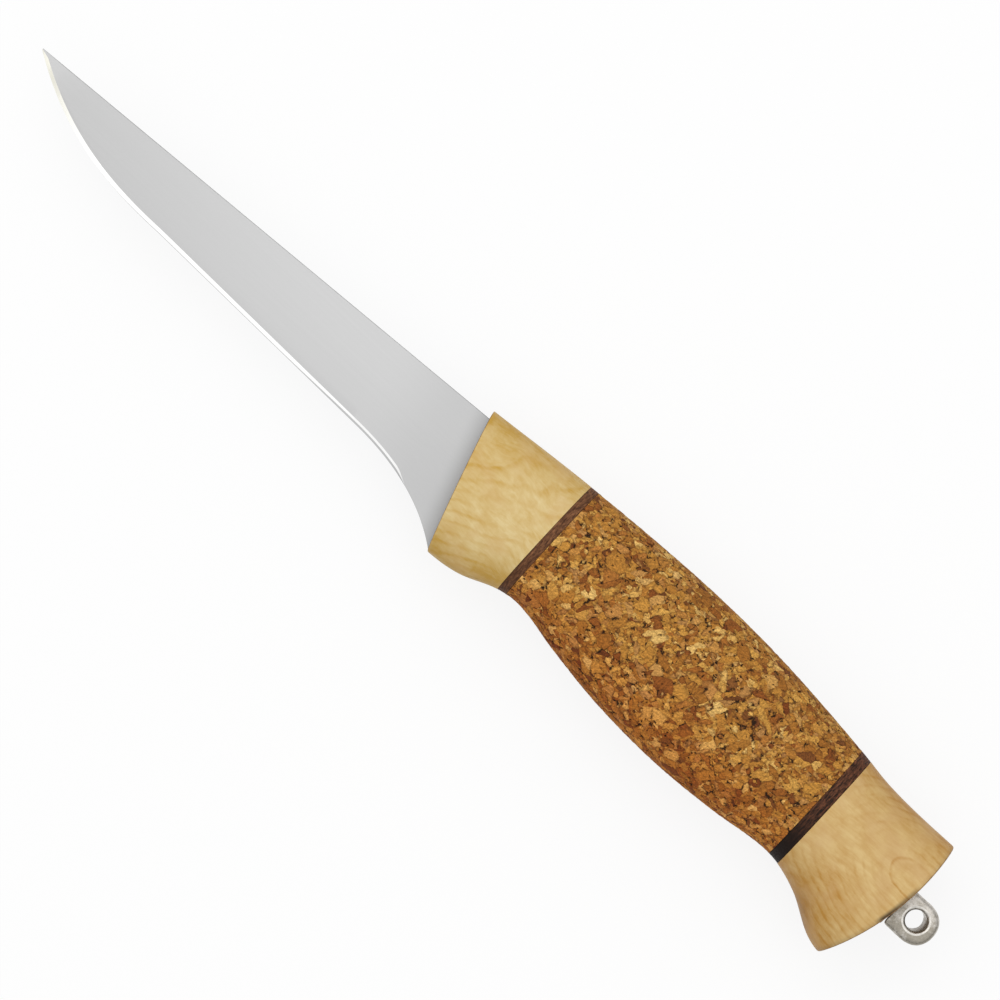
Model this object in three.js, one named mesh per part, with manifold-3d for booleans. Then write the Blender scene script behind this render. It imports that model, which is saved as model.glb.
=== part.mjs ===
// Fishing knife: a narrow fixed blade on a stick tang, with a stacked handle of birch, leather and cork
// that an eye nut clamps at the butt. Millimetres, +Z up.
// The knife lies on its side: X runs from tip to butt, Y from edge to spine, Z across the thickness.
// While it is built, x = 0 is the back face of the front ferrule and y = 0 is the axis of the tang stud.

import * as THREE from "three";
import { mergeVertices } from "three/addons/utils/BufferGeometryUtils.js";
import Module from "manifold-3d";

const wasm = await Module();
wasm.setup();
const { clamp, degToRad, lerp, mapLinear, smoothstep } = THREE.MathUtils;

// Lengths of the stacked handle pieces, along X
const FERRULE_LENGTH = 23.45;
const FRONT_SPACER_LENGTH = 1.9;
const GRIP_LENGTH = 69.8;
const REAR_SPACER_LENGTH = 2.5;
const POMMEL_LENGTH = 23.0;
const STACK_SEAM = 0.02;

// Handle outline: heights above and depths below the stud axis
const FERRULE_FRONT_TOP = 17.0;
const FERRULE_BACK_TOP = 18.9;
const GRIP_CROWN = 20.05;
const GRIP_BACK_TOP = 16.9;
const POMMEL_WAIST_TOP = 15.35;
const FINGER_LIP = 11.25;
const FERRULE_BACK_BOTTOM = 7.5;
const FINGER_NECK = 6.95;
const GRIP_BELLY = 11.5;
const GRIP_BACK_BOTTOM = 9.35;
const POMMEL_FRONT_BOTTOM = 9.7;
const POMMEL_TOE = 16.75;

// Half thickness of the handle, across Z, and how square its oval section is
const FERRULE_HALF = 8.8;
const NECK_HALF = 10.2;
const GRIP_HALF = 12.3;
const REAR_HALF = 10.8;
const BUTT_HALF = 11.8;
const SECTION_POWER = 2.2;

// Ends of the handle: the leaning front face and the wide arc of the butt
const FRONT_LEAN = degToRad(17.2);
const FRONT_ALLOWANCE = 1.5;
const BUTT_RADIUS = 56.0;
const BUTT_RISE = 8.4;

// Blade outline: the tip stands ahead of the handle, and drops are measured below the tip
const BLADE_REACH = 110.6;
const TIP_HEIGHT = 9.5;
const TIP_LAND = 0.4;
const SPINE_HEIGHT = 15.3;
const BELLY_LENGTH = 41.0;
const BELLY_DROP = 10.95;
const BELLY_POWER = 2.5;
const HEEL_SWEEP_LENGTH = 18.0;
const HEEL_SWEEP_DROP = 12.3;
const HEEL_CORNER_LENGTH = 1.75;
const HEEL_CORNER_DROP = 12.7;
const HEEL_ABOVE_LIP = 0.5;
const HEEL_LEAN_POWER = 1.5;

// Blade section: flat ground flanks, a narrow bevel and a full thickness heel
const BLADE_THICKNESS = 2.0;
const FLANK_TAPER_TO_EDGE = 0.0395;
const FLANK_TAPER_TO_TIP = 0.0038;
const EDGE_BEVEL = 0.85;
const EDGE_LAND = 0.06;
const BEVEL_END_LENGTH = 7.0;
const BEVEL_FADE = 4.5;
const PLUNGE_LENGTH = 18.0;
const BLADE_SEAT = 0.1;

// Stick tang, threaded stud and the adhesive around them
const TANG_THICKNESS = 1.8;
const TANG_FRONT_TOP = 7.0;
const TANG_FRONT_BOTTOM = 3.0;
const TANG_END_WIDTH = 5.0;
const TANG_IN_POMMEL = 2.0;
const TANG_IN_BLADE = 3.0;
const SLOT_GAP = 0.3;
const STUD_DIAMETER = 4.0;
const STUD_SLOT = 10.0;
const THREAD_ENGAGEMENT = 4.4;
const ADHESIVE_WALL = 1.5;
const ADHESIVE_IN_FERRULE = 11.0;
const ADHESIVE_IN_POMMEL = 6.0;
const BOND = 0.1;

// Eye nut, washer and their seat in the butt
const EYE_WIDTH = 8.7;
const EYE_THICKNESS = 6.2;
const EYE_REACH = 4.0;
const EYE_END = 4.7;
const EYE_HOLE = 4.1;
const EYE_CHAMFER = 0.5;
const SLEEVE_DIAMETER = 6.0;
const SLEEVE_LENGTH = 8.0;
const SLEEVE_IN_LUG = 1.0;
const THREAD_GAP = 0.15;
const THREAD_RELIEF = 1.0;
const WASHER_DIAMETER = 9.6;
const WASHER_THICKNESS = 0.8;
const WASHER_SEAT_DEPTH = 1.8;
const WASHER_TO_EYE = 0.35;
const SPOT_FACE_GAP = 0.5;
const SLEEVE_GAP = 0.35;
const SLEEVE_RELIEF = 0.6;
const STUD_HOLE_GAP = 0.4;

// Fineness of the curved surfaces
const SECTION_SEGMENTS = 36;
const ROUND_SEGMENTS = 32;
const HANDLE_STEP = 2.6;
const BELLY_STEPS = 22;
const EDGE_STEPS = 6;
const HEEL_STEPS = 14;

// Places along X that follow from the lengths
const gripFront = FRONT_SPACER_LENGTH;
const gripBack = gripFront + GRIP_LENGTH;
const pommelFront = gripBack + REAR_SPACER_LENGTH;
const buttApex = pommelFront + POMMEL_LENGTH;
const tangEnd = pommelFront + TANG_IN_POMMEL;
const washerSeat = buttApex - WASHER_SEAT_DEPTH;
const eyeBase = washerSeat + WASHER_THICKNESS + WASHER_TO_EYE;
const sleeveFront = eyeBase - SLEEVE_LENGTH;
const studFront = tangEnd - STUD_SLOT;
const studEnd = sleeveFront + THREAD_ENGAGEMENT;
const adhesiveBack = pommelFront + ADHESIVE_IN_POMMEL;

// The shapes that end the handle reach well past both of its sides
const cutWidth = 4 * GRIP_HALF;

// Places along X at a share of the way along a handle piece
const inFerrule = (share) => lerp(-FERRULE_LENGTH, 0, share);
const inGrip = (share) => lerp(gripFront, gripBack, share);
const inPommel = (share) => lerp(pommelFront, buttApex, share);

// Smooth line through points of place and height.
function outline(points) {
  const places = points.map((point) => point[0]);
  const heights = points.map((point) => point[1]);
  const curve = new THREE.CubicInterpolant(places, heights, 1);
  return (x) => curve.evaluate(x)[0];
}

const handleTop = outline([
  [inFerrule(0), FERRULE_FRONT_TOP],
  [inFerrule(1), FERRULE_BACK_TOP],
  [inGrip(0.4), GRIP_CROWN],
  [inGrip(0.66), lerp(GRIP_CROWN, GRIP_BACK_TOP, 0.19)],
  [inGrip(1), GRIP_BACK_TOP],
  [inPommel(0.22), lerp(GRIP_BACK_TOP, POMMEL_WAIST_TOP, 0.75)],
  [inPommel(0.5), POMMEL_WAIST_TOP],
  [inPommel(1), POMMEL_WAIST_TOP],
]);

const handleBottom = outline([
  [inFerrule(0), FINGER_LIP],
  [inFerrule(0.39), FINGER_LIP],
  [inFerrule(0.56), lerp(FINGER_LIP, FERRULE_BACK_BOTTOM, 0.09)],
  [inFerrule(0.7), lerp(FINGER_LIP, FERRULE_BACK_BOTTOM, 0.28)],
  [inFerrule(1), FERRULE_BACK_BOTTOM],
  [inGrip(0.038), FINGER_NECK],
  [inGrip(0.2), lerp(FINGER_NECK, GRIP_BELLY, 0.44)],
  [inGrip(0.38), lerp(FINGER_NECK, GRIP_BELLY, 0.84)],
  [inGrip(0.61), GRIP_BELLY],
  [inGrip(0.8), lerp(GRIP_BELLY, GRIP_BACK_BOTTOM, 0.35)],
  [inGrip(0.985), GRIP_BACK_BOTTOM],
  [inPommel(0), POMMEL_FRONT_BOTTOM],
  [inPommel(0.26), lerp(POMMEL_FRONT_BOTTOM, POMMEL_TOE, 0.28)],
  [inPommel(0.58), lerp(POMMEL_FRONT_BOTTOM, POMMEL_TOE, 0.87)],
  [inPommel(0.73), POMMEL_TOE],
  [inPommel(1), POMMEL_TOE],
]);

const handleHalf = outline([
  [inFerrule(0), FERRULE_HALF],
  [inFerrule(1), NECK_HALF],
  [inGrip(0.55), GRIP_HALF],
  [inGrip(1), REAR_HALF],
  [inPommel(1), BUTT_HALF],
]);

// Triangle geometry as a solid for joining and cutting.
function solid(geometry) {
  const bare = geometry.clone();
  bare.deleteAttribute("normal");
  bare.deleteAttribute("uv");
  const welded = mergeVertices(bare);
  return new wasm.Manifold(
    new wasm.Mesh({
      numProp: 3,
      vertProperties: new Float32Array(welded.attributes.position.array),
      triVerts: new Uint32Array(welded.index.array),
    }),
  );
}

// A solid as triangle geometry again.
function surface(body) {
  const mesh = body.getMesh();
  const geometry = new THREE.BufferGeometry();
  geometry.setAttribute("position", new THREE.BufferAttribute(mesh.vertProperties, 3));
  geometry.setIndex(new THREE.BufferAttribute(mesh.triVerts, 1));
  return geometry;
}

// Solid skin over rings of points: quads between the rings and a fan over each end.
function loft(rings) {
  const count = rings[0].length;
  const last = rings.length - 1;
  const points = rings.flat();
  const index = [];
  for (let i = 0; i < last; i += 1) {
    for (let j = 0; j < count; j += 1) {
      const a = i * count + j;
      const b = i * count + ((j + 1) % count);
      index.push(a, b, a + count, b, b + count, a + count);
    }
  }
  for (const end of [0, last]) {
    const centre = new THREE.Vector3();
    rings[end].forEach((point) => centre.addScaledVector(point, 1 / count));
    points.push(centre);
    for (let j = 0; j < count; j += 1) {
      const a = end * count + j;
      const b = end * count + ((j + 1) % count);
      index.push(points.length - 1, ...(end === 0 ? [b, a] : [a, b]));
    }
  }
  const geometry = new THREE.BufferGeometry().setFromPoints(points);
  geometry.setIndex(index);
  return solid(geometry);
}

// Oval slice of the handle at x.
function handleRing(x) {
  const top = handleTop(x);
  const bottom = -handleBottom(x);
  const middle = (top + bottom) / 2;
  const oval = (wave) => Math.sign(wave) * Math.abs(wave) ** (2 / SECTION_POWER);
  return Array.from({ length: SECTION_SEGMENTS }, (_, j) => {
    const angle = (2 * Math.PI * j) / SECTION_SEGMENTS;
    const y = middle + ((top - bottom) / 2) * oval(Math.cos(angle));
    return new THREE.Vector3(x, y, handleHalf(x) * oval(Math.sin(angle)));
  });
}

// Length of the handle between two places.
function handlePiece(from, to) {
  const steps = Math.ceil((to - from) / HANDLE_STEP) + 1;
  return loft(Array.from({ length: steps + 1 }, (_, i) => handleRing(lerp(from, to, i / steps))));
}

// Flat shape in Y and Z, swept along X.
function alongX(shape, from, to) {
  const sweep = new THREE.ExtrudeGeometry(shape, { depth: to - from, bevelEnabled: false });
  const turn = new THREE.Matrix4().makeBasis(
    new THREE.Vector3(0, 1, 0),
    new THREE.Vector3(0, 0, 1),
    new THREE.Vector3(1, 0, 0),
  );
  return solid(sweep.applyMatrix4(turn).translate(from, 0, 0));
}

// Round rod about the stud axis.
function rod(diameter, from, to) {
  const round = new THREE.CylinderGeometry(diameter / 2, diameter / 2, to - from, ROUND_SEGMENTS);
  return solid(round.rotateZ(-Math.PI / 2).translate((from + to) / 2, 0, 0));
}

// Flat shape in X and Y, as a plate about the middle plane.
function plate(shape, thickness) {
  const options = { depth: thickness, bevelEnabled: false, curveSegments: 2 * ROUND_SEGMENTS };
  return solid(new THREE.ExtrudeGeometry(shape, options).translate(0, 0, -thickness / 2));
}

// Where the leaning front face of the ferrule stands at height y.
function frontAt(y) {
  return -FERRULE_LENGTH + (FERRULE_FRONT_TOP - y) * Math.tan(FRONT_LEAN);
}

// Everything in front of the leaning face.
function aheadOfFront() {
  const reach = FERRULE_LENGTH + FERRULE_FRONT_TOP + FINGER_LIP;
  const shape = new THREE.Shape();
  shape.moveTo(frontAt(reach), reach);
  shape.lineTo(frontAt(reach) - reach, reach);
  shape.lineTo(frontAt(reach) - reach, -reach);
  shape.lineTo(frontAt(-reach), -reach);
  shape.closePath();
  return plate(shape, cutWidth);
}

// Everything inside the arc of the butt.
function insideButt() {
  const shape = new THREE.Shape();
  shape.absarc(buttApex - BUTT_RADIUS, BUTT_RISE, BUTT_RADIUS, -Math.PI / 2, Math.PI / 2, false);
  shape.closePath();
  return plate(shape, cutWidth);
}

// Tapering stick tang, grown by a gap where it passes through a slot.
function tang(gap) {
  const front = frontAt(0) - TANG_IN_BLADE;
  const back = tangEnd + gap;
  const shape = new THREE.Shape();
  shape.moveTo(front, TANG_FRONT_TOP + gap);
  shape.lineTo(front, -TANG_FRONT_BOTTOM - gap);
  shape.lineTo(back, -TANG_END_WIDTH / 2 - gap);
  shape.lineTo(back, TANG_END_WIDTH / 2 + gap);
  shape.closePath();
  return plate(shape, TANG_THICKNESS + 2 * gap);
}

// Round-ended core around the tang: the adhesive, or with a gap the bore that holds it.
function core(gap) {
  const half = TANG_THICKNESS / 2 + ADHESIVE_WALL + gap;
  const top = TANG_FRONT_TOP + ADHESIVE_WALL + gap - half;
  const bottom = -TANG_FRONT_BOTTOM - ADHESIVE_WALL - gap + half;
  const shape = new THREE.Shape();
  shape.absarc(top, 0, half, -Math.PI / 2, Math.PI / 2, false);
  shape.absarc(bottom, 0, half, Math.PI / 2, 1.5 * Math.PI, false);
  shape.closePath();
  return alongX(shape, -ADHESIVE_IN_FERRULE - gap, adhesiveBack + gap);
}

const spineBack = frontAt(SPINE_HEIGHT) - BLADE_SEAT;
const tip = -FERRULE_LENGTH - BLADE_REACH;
const heelSweep = spineBack - HEEL_SWEEP_LENGTH;
const heelBottom = HEEL_ABOVE_LIP - FINGER_LIP;
const heelBack = frontAt(heelBottom) - BLADE_SEAT;

// Points of the cutting edge, from the tip round the belly, along the edge and down the hollow heel.
function edgePoints() {
  const sweep = new THREE.QuadraticBezierCurve(
    new THREE.Vector2(heelSweep, TIP_HEIGHT - HEEL_SWEEP_DROP),
    new THREE.Vector2(spineBack - HEEL_CORNER_LENGTH, TIP_HEIGHT - HEEL_CORNER_DROP),
    new THREE.Vector2(heelBack, heelBottom),
  );
  const belly = Array.from({ length: BELLY_STEPS + 1 }, (_, i) => {
    const share = lerp(TIP_LAND / BELLY_LENGTH, 1, i / BELLY_STEPS);
    const drop = BELLY_DROP * (1 - (1 - share) ** BELLY_POWER);
    return new THREE.Vector2(tip + share * BELLY_LENGTH, TIP_HEIGHT - drop);
  });
  const straight = new THREE.LineCurve(belly.at(-1), sweep.v0);
  return [...belly, ...straight.getPoints(EDGE_STEPS).slice(1, -1), ...sweep.getPoints(HEEL_STEPS)];
}

// Six points round the blade at one point of the edge: across the spine, down a flank, the bevel, and back.
function bladeRing(edge) {
  const half = BLADE_THICKNESS / 2;
  const flank = (x, y) =>
    half + FLANK_TAPER_TO_EDGE * (y - SPINE_HEIGHT) + FLANK_TAPER_TO_TIP * (x - spineBack);
  const lean = clamp(mapLinear(edge.x, heelSweep, heelBack, 0, 1), 0, 1) ** HEEL_LEAN_POWER;
  const spineX = edge.x - lean * (heelBack - spineBack);
  const spineY = mapLinear(spineX, tip, spineBack, TIP_HEIGHT, SPINE_HEIGHT);
  const bevelEnd = spineBack - BEVEL_END_LENGTH;
  const sharp = 1 - smoothstep(edge.x, bevelEnd, bevelEnd + BEVEL_FADE);
  const unground = smoothstep(edge.x, bevelEnd - PLUNGE_LENGTH / 2, bevelEnd + PLUNGE_LENGTH / 2);
  const shoulderY = edge.y + sharp * Math.min(EDGE_BEVEL, (spineY - edge.y) / 2);
  const spineHalf = flank(spineX, spineY);
  const shoulderHalf = lerp(flank(edge.x, shoulderY), half, unground);
  const edgeHalf = lerp(shoulderHalf, EDGE_LAND / 2, sharp);
  return [
    new THREE.Vector3(spineX, spineY, -spineHalf),
    new THREE.Vector3(spineX, spineY, spineHalf),
    new THREE.Vector3(edge.x, shoulderY, shoulderHalf),
    new THREE.Vector3(edge.x, edge.y, edgeHalf),
    new THREE.Vector3(edge.x, edge.y, -edgeHalf),
    new THREE.Vector3(edge.x, shoulderY, -shoulderHalf),
  ];
}

// Eye lug with a rounded end and a chamfered hole.
function eyeLug() {
  const radius = EYE_WIDTH / 2;
  const shape = new THREE.Shape();
  shape.absellipse(eyeBase + EYE_REACH, 0, EYE_END, radius, -Math.PI / 2, Math.PI / 2, false);
  shape.lineTo(eyeBase, radius);
  shape.lineTo(eyeBase, -radius);
  shape.closePath();
  const hole = new THREE.Path();
  hole.absarc(eyeBase + EYE_REACH, 0, EYE_HOLE / 2, 0, 2 * Math.PI, true);
  shape.holes.push(hole);
  const lug = new THREE.ExtrudeGeometry(shape, {
    depth: EYE_THICKNESS - 2 * EYE_CHAMFER,
    bevelThickness: EYE_CHAMFER,
    bevelSize: EYE_CHAMFER,
    bevelOffset: -EYE_CHAMFER,
    bevelSegments: 1,
    curveSegments: ROUND_SEGMENTS / 2,
  });
  return solid(lug.translate(0, 0, EYE_CHAMFER - EYE_THICKNESS / 2));
}

// Blade and tang, one piece of steel
function blade() {
  return loft(edgePoints().map(bladeRing)).add(tang(0));
}

// Threaded stud, slotted over the end of the tang
function tangStud() {
  return rod(STUD_DIAMETER, studFront, studEnd).subtract(tang(BOND));
}

// Cured adhesive round the tang and the front of the stud
function tangAdhesive() {
  const studBed = rod(STUD_DIAMETER + 2 * BOND, studFront - BOND, studEnd);
  return core(0).subtract(tang(BOND)).subtract(studBed);
}

// Birch ferrule with a snug slot for the tang at its leaning front
function frontFerrule() {
  return handlePiece(-FERRULE_LENGTH - FRONT_ALLOWANCE, 0)
    .subtract(aheadOfFront())
    .subtract(tang(SLOT_GAP))
    .subtract(core(BOND));
}

// Leather slice between two wooden pieces
function leatherSpacer(front, back) {
  return handlePiece(front + STACK_SEAM, back - STACK_SEAM).subtract(core(BOND));
}

// Cork barrel
function corkGrip() {
  return handlePiece(gripFront, gripBack).subtract(core(BOND));
}

// Birch pommel, bored for the stud and the sleeve and spot-faced for the washer
function pommel() {
  return handlePiece(pommelFront, buttApex)
    .intersect(insideButt())
    .subtract(core(BOND))
    .subtract(rod(STUD_DIAMETER + 2 * STUD_HOLE_GAP, pommelFront, buttApex))
    .subtract(rod(SLEEVE_DIAMETER + 2 * SLEEVE_GAP, sleeveFront - SLEEVE_RELIEF, buttApex))
    .subtract(rod(WASHER_DIAMETER + 2 * SPOT_FACE_GAP, washerSeat, buttApex + WASHER_SEAT_DEPTH));
}

// Flat washer under the eye
function buttWasher() {
  return rod(WASHER_DIAMETER, washerSeat + STACK_SEAM, washerSeat + WASHER_THICKNESS)
    .subtract(rod(SLEEVE_DIAMETER + 2 * SLEEVE_GAP, washerSeat - WASHER_THICKNESS, buttApex));
}

// Eye with its threaded sleeve
function eyeNut() {
  const thread = rod(
    STUD_DIAMETER + 2 * THREAD_GAP,
    sleeveFront - THREAD_RELIEF,
    studEnd + THREAD_RELIEF,
  );
  return eyeLug()
    .add(rod(SLEEVE_DIAMETER, sleeveFront, eyeBase + SLEEVE_IN_LUG))
    .subtract(thread);
}

// One named mesh with its finish
function piece(name, body, color, roughness, metalness) {
  const finish = new THREE.MeshStandardMaterial({ color, roughness, metalness });
  const mesh = new THREE.Mesh(surface(body), finish);
  mesh.name = name;
  return mesh;
}

const steelwork = new THREE.Group();
steelwork.add(
  piece("blade", blade(), "#c9cbcb", 0.32, 1),
  piece("tang_stud", tangStud(), "#a9a8a4", 0.4, 1),
  piece("tang_adhesive", tangAdhesive(), "#b98f4a", 0.3, 0),
);

const handle = new THREE.Group();
handle.add(
  piece("front_ferrule", frontFerrule(), "#d6b983", 0.5, 0),
  piece("front_spacer", leatherSpacer(0, gripFront), "#5a4234", 0.8, 0),
  piece("cork_grip", corkGrip(), "#a37138", 0.85, 0),
  piece("rear_spacer", leatherSpacer(gripBack, pommelFront), "#4b3429", 0.8, 0),
  piece("pommel", pommel(), "#cfb078", 0.5, 0),
);

const buttFitting = new THREE.Group();
buttFitting.add(
  piece("butt_washer", buttWasher(), "#9d9a94", 0.45, 1),
  piece("eye_nut", eyeNut(), "#aea89d", 0.5, 1),
);

const knife = new THREE.Group();
knife.name = "fishing_knife";
knife.add(steelwork, handle, buttFitting);

// The origin goes to the bottom centre of the box around the knife.
const box = new THREE.Box3().setFromObject(knife);
const centre = box.getCenter(new THREE.Vector3());
knife.position.set(-centre.x, -centre.y, -box.min.z);

export default knife;
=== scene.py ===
# Looks of the fishing knife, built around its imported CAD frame.
# Shapes are worked out in millimetres from the back of the front ferrule, on the axis of the tang stud,
# and turned into metres of the shared frame as they become meshes.
import math

import bmesh
import bpy
import numpy as np
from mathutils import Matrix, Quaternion, Vector


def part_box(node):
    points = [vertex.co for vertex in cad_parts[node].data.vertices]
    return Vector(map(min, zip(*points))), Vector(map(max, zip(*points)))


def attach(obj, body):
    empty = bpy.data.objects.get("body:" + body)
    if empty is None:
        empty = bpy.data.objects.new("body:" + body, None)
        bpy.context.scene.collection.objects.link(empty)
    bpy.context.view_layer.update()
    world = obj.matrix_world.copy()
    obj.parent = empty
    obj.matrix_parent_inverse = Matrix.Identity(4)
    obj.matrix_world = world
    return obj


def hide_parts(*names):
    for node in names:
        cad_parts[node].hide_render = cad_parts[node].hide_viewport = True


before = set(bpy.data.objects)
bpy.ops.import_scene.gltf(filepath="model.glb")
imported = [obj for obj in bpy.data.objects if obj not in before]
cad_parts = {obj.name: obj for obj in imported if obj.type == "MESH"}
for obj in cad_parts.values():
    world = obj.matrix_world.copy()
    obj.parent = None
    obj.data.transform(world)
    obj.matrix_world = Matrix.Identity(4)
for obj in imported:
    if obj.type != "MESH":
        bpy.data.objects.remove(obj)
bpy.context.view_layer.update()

MM = 0.001
ORIGIN = np.array(
    [
        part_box("front_ferrule")[1].x,
        sum(corner.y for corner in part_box("butt_washer")) / 2,
        sum(corner.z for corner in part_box("blade")) / 2,
    ]
)


def span(node):
    """Where a CAD node starts and ends along the knife, in millimetres."""
    low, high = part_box(node)
    return (low.x - ORIGIN[0]) / MM, (high.x - ORIGIN[0]) / MM


# Places of the stacked pieces along the knife
FERRULE_FRONT = -23.45
GRIP_FRONT, GRIP_BACK = span("cork_grip")
POMMEL_FRONT, BUTT_APEX = span("pommel")
FRONT_LEATHER = span("front_spacer")
REAR_LEATHER = span("rear_spacer")
WASHER_FRONT, WASHER_BACK = span("butt_washer")
SLEEVE_FRONT, EYE_BACK = span("eye_nut")
SEAM = 0.02
WELD = 0.0005

# Handle ends: the leaning front face and the wide arc of the butt
FRONT_TOP = 17.0
FRONT_LEAN = math.tan(math.radians(17.2))
BUTT_RADIUS = 56.0
BUTT_RISE = 8.4

# Oval section of the handle, kept just inside the CAD box
SECTION_POWER = 2.2
INSET = 0.03

# Mesh of the handle's pieces: rows across their ends, rows round their rims, and tries to place a rim
CAP_SHARES = (0.0, 0.3, 0.6, 0.8, 0.92, 1.0)
RIM_ROWS = 6
RIM_TRIES = 20
HANDLE_CREASE = 35
CORE_POWER = 3.0
SLOT_POWER = 12.0
BORE_POINTS = 721

# Bores inside the handle
CORE_HALF = 2.5
CORE_TOP = 8.6
CORE_BOTTOM = 4.6
CORE_IN_FERRULE = -11.1
CORE_IN_POMMEL = POMMEL_FRONT + 6.1
SLOT_HALF = 1.0
SLOT_TOP = 7.2
SLOT_BOTTOM = 3.3
STUD_BORE = 2.4
SLEEVE_BORE = 3.35
SPOT_FACE = 5.3
SLEEVE_BORE_FRONT = SLEEVE_FRONT - 0.6
WASHER_SEAT = WASHER_FRONT - SEAM

# Blade
TIP_LAND = 0.4
TIP = span("blade")[0] - TIP_LAND
TIP_HEIGHT = 9.5
SPINE_HEIGHT = 15.3
SPINE_CHAMFER = 0.12
BELLY_LENGTH = 41.0
BELLY_DROP = 10.95
BELLY_POWER = 2.5
HEEL_SWEEP_LENGTH = 18.0
HEEL_SWEEP_HEIGHT = -2.8
HEEL_CORNER_LENGTH = 1.75
HEEL_CORNER_HEIGHT = -3.2
HEEL_BOTTOM = -10.75
HEEL_LEAN_POWER = 1.5
BLADE_HALF = 1.0
FLANK_TAPER_TO_EDGE = 0.0395
FLANK_TAPER_TO_TIP = 0.0038
EDGE_BEVEL = 0.85
EDGE_HONING = 0.12
HEEL_HONING = 0.4
HONING_LENGTH = 22.0
EDGE_LAND_HALF = 0.03
TIP_HALF = 0.08
TIP_TAPER = 0.03
BEVEL_END_LENGTH = 7.0
BEVEL_FADE = 4.5
PLUNGE_LEAD = 1.0
PLUNGE_LENGTH = 14.0
BELLY_POINTS = 90
STRAIGHT_POINTS = 60
HEEL_POINTS = 60
FLANK_POINTS = 9
BEVEL_ROWS = 190
BLADE_SEAT = 0.1
BLADE_CREASE = 12
TANG_HALF = 0.9
TANG_FRONT = (6.86, -2.98)
TANG_BACK = (2.5, -2.5)
TANG_END = POMMEL_FRONT + 2.0

# Eye and washer
EYE_BASE = WASHER_BACK + 0.35
EYE_CENTRE = EYE_BASE + 4.0
EYE_END = EYE_BACK - EYE_CENTRE
EYE_SIDE = 4.35
EYE_HALF = 3.1
EYE_HOLE = 2.05
EYE_FLARE = 0.42
EYE_FLARE_DEPTH = 0.55
EYE_FLARE_BEND = (0.1, 0.24)
EYE_LAND = 0.36
EYE_LAND_DISH = 0.05
EYE_MOUTH = (0.25, 0.2)
EYE_SLANT = 0.135
EYE_ROUNDING = 1.2
EYE_BASE_ROUNDING = 0.15
EYE_CROWN = 0.35
EYE_CORNER_POWER = 14
EYE_LIP_ROWS = 9
EYE_TOP_SHARES = (0.0, 0.3, 0.6, 0.9)
EYE_EDGE_ROWS = 8
EYE_BASE_TURN = (0.6, 0.74)
EYE_POINTS = 240
EYE_END_POWER = 2.3
EYE_CREASE = 40
SLEEVE_RADIUS = 3.0
SLEEVE_POINTS = 120
THREAD_RADIUS = 2.15
WASHER_RADIUS = 4.8
WASHER_ROUNDING = 0.15
WASHER_POINTS = 160
WASHER_CREASE = 30

# Steel: where the painted sheen of the flanks fades, painted shade and a painted blue reflection by the
# handle, the painted creamy reflection at the point, and where the eye has painted light on its side
# toward the spine and grows darker toward its outer end
SHEEN_ALONG = (-128.0, -55.0)
SHEEN_UP = (-4.0, 13.0)
SHEEN_TO_HANDLE = (2.0, 24.0)
SHADE_TO_HANDLE = (0.0, 4.5)
REFLECTION_TO_HANDLE = (0.0, 0.8)
POINT_REFLECTION_ALONG = (-130.0, -112.0)
EYE_LIT_SIDE_UP = (-3.0, 3.5)
EYE_DARKER_ALONG = (101.8, 103.8)

# Growth rings of the ferrule and the pommel
RING_SLANT = (-0.45, 0.75, 0.48)
ARCH_START = (93.9, 5.1, 11.0)
ARCH_RADIUS = 3.1
ARCH_CORE = 2.2
ARCH_SHAPE = (0.69, 1.0, 0.5)
ARCH_FAR = 1000.0
ARCH_FADE_WAY = (0.5, 0.87, 0.0)
ARCH_FADE = (51.6, 53.6)
ARCH_LINE = (0.35, 1.0)

# Soft patches of deeper colour: centre, reach, and how much deeper; the pommel's and the ferrule's low one
# are painted shade
PATCH_CORE = 0.2
FERRULE_PATCHES = (((-19.0, 7.5, 9.0), 9.0, 0.24), ((-2.0, -7.5, 7.0), 6.0, 0.28))
POMMEL_WAIST_SHADE = ((84.5, -9.5, 7.0), 10.0, 0.34)

# Painted shade along the butt: its depth from the edge, and where it thins out beside the eye
BUTT_SHADE_DEPTH = (0.2, 1.2)
BUTT_SHADE_SIDES = (3.6, 5.6)
BUTT_SHADE_RISE = (-3.0, 4.0)

# Camera: it stands over the grip and leans a little toward the blade, to frame the whole knife
PICTURE_TURN = math.radians(42.7)
PICTURE_WIDTH = 190.0
PICTURE_CENTRE = (-11.17, 5.30)
CAMERA_FOOT = (43.0, 5.30)
CAMERA_HEIGHT = 1400.0
SENSOR_WIDTH = 36.0
CLIP_END = 20.0

# Studio: a soft dome, brightest overhead and a little toward the spine, and one large softbox
SKY_AXIS = (0.0, 0.03, 0.9995)
SKY_LOW = 0.22
SKY_HIGH = 1.18
SOFTBOX_SIZE = 1.2
SOFTBOX_POWER = 3.0
SOFTBOX_PLACE = (-0.5, 0.6, 0.85)
FLOOR_REACH = 3.0
FLOOR_BOUNCE = (0.6, 0.6, 0.6, 1.0)
FLOOR_COLOUR = (0.95, 0.95, 0.95, 1.0)
FLOOR_WHITE = 0.85

# Layers of cork granules: stretch, turn, cells in a millimetre, and share of the surface that each covers
CORK_LAYERS = (
    ((1.0, 1.0, 1.0), (0.0, 0.0, 0.0), 0.62, 1.0),
    ((1.0, 1.0, 1.0), (0.6, 0.3, 0.0), 1.15, 0.28),
    ((1.0, 1.0, 1.0), (0.0, 0.7, 0.4), 0.38, 0.24),
    ((0.4, 1.0, 1.0), (0.0, 0.0, 0.5), 0.85, 0.1),
    ((0.4, 1.0, 1.0), (0.0, 0.0, -0.9), 0.8, 0.1),
)

# Step toward the light, over which painted light and shade make a granule's edge look raised
CORK_LIT_SIDE = (-0.1, 0.16, 0.0)


def part_way(low, high, share):
    return low + (high - low) * share


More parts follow.
